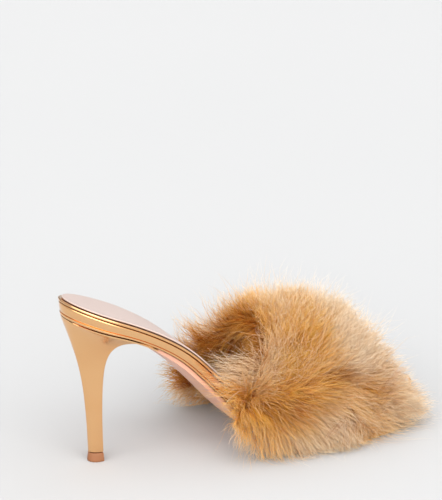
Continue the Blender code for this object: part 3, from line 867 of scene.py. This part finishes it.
def hair_points(lines, girth, chance):
    """Points of thin hairs that taper towards their tips: rings of corners, and the tip."""
    count, stops, _ = lines.shape
    rings = stops - 1
    way = unit(np.gradient(lines, axis=1))
    side = unit(np.cross(way, unit(chance.normal(0, 1, (count, 1, 3)))))
    other = np.cross(way, side)
    turns = [2 * math.pi * i / SIDES for i in range(SIDES)]
    corners = [side * math.cos(turn) + other * math.sin(turn) for turn in turns]
    corners = np.stack(corners, 2)[:, :rings]
    taper = 1 - TAPER * (np.arange(rings) / rings) ** TAPER_POWER
    corners = corners * girth[:, None, None, None] * taper[None, :, None, None]
    body = lines[:, :rings, None] + corners
    return np.concatenate([body.reshape(count, rings * SIDES, 3), lines[:, rings:]], 1)


def hair_faces(rings):
    """Faces of one hair by their corners: quads along it, and triangles at its tip and root."""
    quads = []
    for ring in range(rings - 1):
        for i in range(SIDES):
            a = ring * SIDES + i
            b = ring * SIDES + (i + 1) % SIDES
            quads.append((a, b, b + SIDES, a + SIDES))
    last = (rings - 1) * SIDES
    tip = rings * SIDES
    triangles = [(last + i, last + (i + 1) % SIDES, tip) for i in range(SIDES)]
    triangles.append((2, 1, 0))
    return np.array(quads), np.array(triangles)


def hair_mesh(hair, lines, girth, shades, chance):
    """Mesh of many hairs, which also stores each point's share of the way to its hair's tip."""
    count, stops, _ = lines.shape
    rings = stops - 1
    points = hair_points(lines, girth, chance)
    per_hair = points.shape[1]
    first = (np.arange(count) * per_hair)[:, None, None]
    corners = []
    sizes = []
    for faces in hair_faces(rings):
        corners.append((first + faces).ravel())
        sizes.append(np.full(count * len(faces), faces.shape[1]))
    corners = np.concatenate(corners)
    sizes = np.concatenate(sizes)
    mesh = bpy.data.meshes.new(hair.name)
    mesh.vertices.add(count * per_hair)
    mesh.vertices.foreach_set("co", points.reshape(-1).astype(np.float32))
    mesh.loops.add(len(corners))
    mesh.loops.foreach_set("vertex_index", corners.astype(np.int32))
    mesh.polygons.add(len(sizes))
    mesh.polygons.foreach_set("loop_start", (np.cumsum(sizes) - sizes).astype(np.int32))
    mesh.polygons.foreach_set("use_smooth", np.ones(len(sizes), bool))
    mesh.update(calc_edges=True)
    mesh.validate()
    share = np.append(np.repeat(np.arange(rings) / rings, SIDES), 1.0)
    write_attribute(mesh, "tip", np.tile(share, count))
    for name, shade in zip(SHADES, shades):
        write_attribute(mesh, name, np.repeat(shade, per_hair))
    piece = bpy.data.objects.new(hair.name, mesh)
    bpy.context.scene.collection.objects.link(piece)
    return piece


def write_attribute(mesh, name, values):
    """Store one number for each point of a mesh."""
    attribute = mesh.attributes.new(name, "FLOAT", "POINT")
    attribute.data.foreach_set("value", values.astype(np.float32))


def patches(around, along):
    """How pale the fur is at each place, and how dark its roots are."""
    pale = np.zeros_like(around)
    dark = np.zeros_like(around)
    for patch in PATCHES:
        share = np.exp(-away_from(patch, around, along) ** 2)
        pale += patch.pale * share
        dark += patch.dark * share
    return pale, dark


def make_undercoat():
    """Dense underfur: a grid laid over the vamp, drawn out from its wall and given a thickness."""
    deselect()
    columns, rows = UNDERFUR_CELLS
    bpy.ops.mesh.primitive_grid_add(x_subdivisions=columns, y_subdivisions=rows, size=2)
    piece = bpy.context.object
    piece.name = "underfur"
    flat = np.empty(len(piece.data.vertices) * 3, np.float32)
    piece.data.vertices.foreach_get("co", flat)
    flat = flat.reshape(-1, 3)
    around, along = flat[:, 0], (flat[:, 1] + 1) / 2
    from_edges = np.stack([along, 1 - along, 1 - np.abs(around)])
    throat, toe, sole = np.exp(-(from_edges / UNDERFUR_EDGE) ** 2)
    edge = np.maximum(throat + toe, sole)
    placed = pile_point(around, along, UNDERFUR_DEPTH - UNDERFUR_ROUND * edge)
    piece.data.vertices.foreach_set("co", placed.reshape(-1).astype(np.float32))
    piece.data.update()
    pale, dark = patches(around, along)
    write_attribute(piece.data, "pale", pale)
    write_attribute(piece.data, "dark", dark)
    pick(piece)
    bpy.ops.object.mode_set(mode="EDIT")
    bpy.ops.mesh.select_all(action="SELECT")
    bpy.ops.mesh.normals_make_consistent(inside=False)
    bpy.ops.object.mode_set(mode="OBJECT")
    apply_modifier(piece, "SOLIDIFY", thickness=PILE * UNDERFUR_WALL, offset=-1.0)
    bpy.ops.object.shade_smooth()
    return piece


def gold_finish():
    """Mirror-gold leather: a foil that shows the leather's fine grain and slight waviness."""
    constants = {"Metallic": 1.0, "Coat Weight": 0.25, "Coat Roughness": 0.08}
    finish = Finish("mirror-gold leather", constants)
    place = finish.place()
    wide = finish.noise(place, 45.0, 2.0)
    fine = finish.noise(place, 2600.0, 3.0, 0.6)
    finish.vary(
        Base_Color=finish.mix(wide, colour(232, 178, 122), colour(240, 192, 138)),
        Roughness=wide * 0.08 + 0.13,
        Normal=finish.bump(wide * 0.9 + fine * 0.1, 0.0004, 0.35),
    )
    return finish


def sock_finish():
    """Pale pink kid leather, matt, with a fine pebble."""
    finish = Finish("pale kid leather", {"Specular IOR Level": 0.2})
    place = finish.place()
    fine = finish.noise(place, 1500.0, 4.0, 0.6)
    wide = finish.noise(place, 30.0, 3.0)
    finish.vary(
        Base_Color=finish.mix(wide, colour(184, 167, 160), colour(192, 176, 170)),
        Roughness=fine * 0.15 + 0.48,
        Normal=finish.bump(fine, 0.00012, 0.6),
    )
    return finish


def sole_finish():
    """Nude sole leather, satin, with faint length-wise fibre."""
    finish = Finish("nude sole leather", {"Coat Weight": 0.2, "Coat Roughness": 0.3})
    fibre = finish.noise(finish.place((0.3, 1.0, 1.0)), 900.0, 4.0, 0.6)
    wide = finish.noise(finish.place(), 35.0, 3.0)
    finish.vary(
        Base_Color=finish.mix(wide, colour(207, 153, 129), colour(217, 166, 142)),
        Roughness=fibre * 0.15 + 0.33,
        Normal=finish.bump(fibre, 0.0001, 0.5),
    )
    return finish


def rubber_finish():
    """Tan rubber of the heel's top piece."""
    finish = Finish("tan rubber", {"Specular IOR Level": 0.4})
    fine = finish.noise(finish.place(), 1800.0, 3.0)
    finish.vary(
        Base_Color=finish.mix(fine, colour(132, 84, 53), colour(144, 95, 62)),
        Roughness=fine * 0.2 + 0.42,
        Normal=finish.bump(fine, 0.00008, 0.5),
    )
    return finish


def lining_painted_shade_finish():
    """Tan lining leather of the vamp: a guessed colour, made dark so that it also stands in as
    painted shade in the throat's hollow.
    """
    finish = Finish("lining leather", {"Specular IOR Level": 0.3})
    fine = finish.noise(finish.place(), 1200.0, 4.0, 0.6)
    finish.vary(
        Base_Color=finish.mix(fine, colour(176, 116, 66), colour(192, 132, 80)),
        Roughness=fine * 0.15 + 0.55,
        Normal=finish.bump(fine, 0.00015, 0.5),
    )
    return finish


def fur_finish():
    """Fur: golden or creamy, pale at the tip, rusty where it is dark and where shade is painted,
    with light through it.
    """
    finish = Finish("golden fur", {"Roughness": 0.6, "Specular IOR Level": 0.12})
    tip = finish.attribute("tip")
    tone, pale, dark = [finish.attribute(name) for name in SHADES]
    golden = finish.ramp(tip, (
        (0.00, colour(200, 118, 34)),
        (0.35, colour(240, 166, 58)),
        (0.75, colour(250, 198, 92)),
        (1.00, colour(255, 226, 150)),
    ))
    creamy = finish.ramp(tip, (
        (0.00, colour(220, 168, 108)),
        (0.35, colour(246, 214, 168)),
        (0.75, colour(250, 230, 200)),
        (1.00, colour(255, 244, 226)),
    ))
    cream = (pale + (tone - CREAMY_TONE) * CREAMY_STRENGTH).clipped()
    shadow = (RUSTY_TONE - tone).clipped() * RUSTY_STRENGTH
    # rusty roots and wisps, plus painted shade from the throat's hollow and under the parting
    rust_and_painted_shade = (dark * (DARK_AT_ROOT - DARK_LOST * tip) + shadow).clipped()
    hue = finish.mix(cream, golden, creamy)
    finish.vary(Base_Color=finish.mix(rust_and_painted_shade, hue, colour(164, 84, 18)))
    glow = finish.blend(
        cream, finish.glow(colour(240, 178, 78)), finish.glow(colour(246, 222, 182))
    )
    lit = Channel(finish, finish.shader.outputs["BSDF"])
    surface = finish.blend(GLOW - GLOW_LOST * rust_and_painted_shade, lit, glow)
    finish.plug(finish.tree.nodes["Material Output"].inputs["Surface"], surface)
    return finish


def underfur_finish():
    """The dense woolly ground under the hairs."""
    finish = Finish("underfur", {"Roughness": 0.9, "Specular IOR Level": 0.1})
    wool = finish.noise(finish.place(), 700.0, 4.0, 0.7)
    pale = finish.attribute("pale").clipped()
    dark = finish.attribute("dark").clipped()
    ground = finish.mix(wool, colour(190, 122, 60), colour(226, 168, 104))
    ground = finish.mix(pale, ground, colour(226, 190, 150))
    # dark: darker roots, and the painted shade under the parting
    finish.vary(
        Base_Color=finish.mix(dark, ground, colour(150, 84, 34)),
        Normal=finish.bump(wool, 0.001, 0.8),
    )
    return finish


def floor_finish():
    """Plain pale floor."""
    finish = Finish("studio floor", {"Roughness": 0.9, "Specular IOR Level": 0.1})
    speck = finish.noise(finish.place(), 3.0)
    finish.vary(Base_Color=finish.mix(speck, *FLOOR_GREYS))
    return finish


def paint_room(tree):
    """Soft room: pale to the camera, dimmer low on its walls where leather mirrors it."""
    room = Graph(tree)
    way = room.node("ShaderNodeTexCoord", {}, {}, "Generated")
    height = room.node("ShaderNodeSeparateXYZ", {}, {0: way}, "Z")
    seen = room.node("ShaderNodeLightPath", {}, {}, "Is Camera Ray")
    paint = room.mix(seen, room.ramp(height, ROOM_STOPS), ROOM_PALE)
    room.plug(tree.nodes["Background"].inputs["Color"], paint)


def direction(turn, rise):
    """Way from the shoe to what stands at a turn from the outer side and a rise, in radians."""
    across = math.cos(rise)
    return Vector((math.sin(turn) * across, -math.cos(turn) * across, math.sin(rise)))


def make_studio():
    """Floor, room, soft lights and camera."""
    deselect()
    bpy.ops.mesh.primitive_plane_add(size=FLOOR_SIZE)
    floor = bpy.context.object
    floor.name = "studio_floor"
    floor.data.materials.append(floor_finish().material)

    world = bpy.data.worlds.new("studio")
    bpy.context.scene.world = world
    world.use_nodes = True
    paint_room(world.node_tree)

    for light in LIGHTS:
        deselect()
        bpy.ops.object.light_add(type="SUN")
        sun = bpy.context.object
        sun.name = light.name
        sun.data.energy = light.strength
        sun.data.angle = math.radians(light.softness)
        sun.data.color = WARM_WHITE
        back = direction(math.radians(light.turn), math.radians(light.rise))
        sun.rotation_euler = back.to_track_quat("Z", "Y").to_euler()

    back = direction(-CAMERA_TURN, CAMERA_RISE)
    bpy.ops.object.camera_add(location=LOOK_AT + back * CAMERA_AWAY)
    camera = bpy.context.object
    camera.rotation_euler = back.to_track_quat("Z", "Y").to_euler()
    camera.data.lens = LENS
    camera.data.sensor_width = SENSOR
    camera.data.clip_end = SIGHT
    bpy.context.scene.camera = camera
    bpy.context.scene.view_settings.view_transform = "Standard"


def dress_shoe():
    """Leathers, lining and rubber of the shoe under the fur."""
    gold = gold_finish()
    dress(refined("platform", "platform_wrap", 30), gold, "platform")
    dress(refined("insole", "insole_wrap", 30), gold, "insole")
    dress(refined("heel", "heel_cover", 40), gold, "heel")
    dress(refined("sock", "sock_lining", 30), sock_finish(), "sock")
    dress(refined("outsole", "sole_leather", 40), sole_finish(), "outsole")
    dress(refined("top_piece", "heel_tip", 30), rubber_finish(), "top_piece")
    dress(refined("vamp", "vamp_lining", 40), lining_painted_shade_finish(), "vamp")


def grow_fur():
    """The underfur and all the hairs, which stand for the shearling."""
    chance = np.random.default_rng(7)
    dress(make_undercoat(), underfur_finish(), "shearling")
    kinds = [make_hairs(hair, chance) for hair in HAIRS]
    kinds += [make_fringe(FRINGE, chance, end) for end in (0, 1)]
    fur = fur_finish()
    for region in kinds[0]:
        pick(kinds[0][region])
        for kind in kinds[1:]:
            if region in kind:
                kind[region].select_set(True)
        bpy.ops.object.join()
        piece = bpy.context.object
        piece.name = "fur_" + region
        piece.data.name = piece.name
        dress(piece, fur, "shearling")


make_studio()
dress_shoe()
grow_fur()
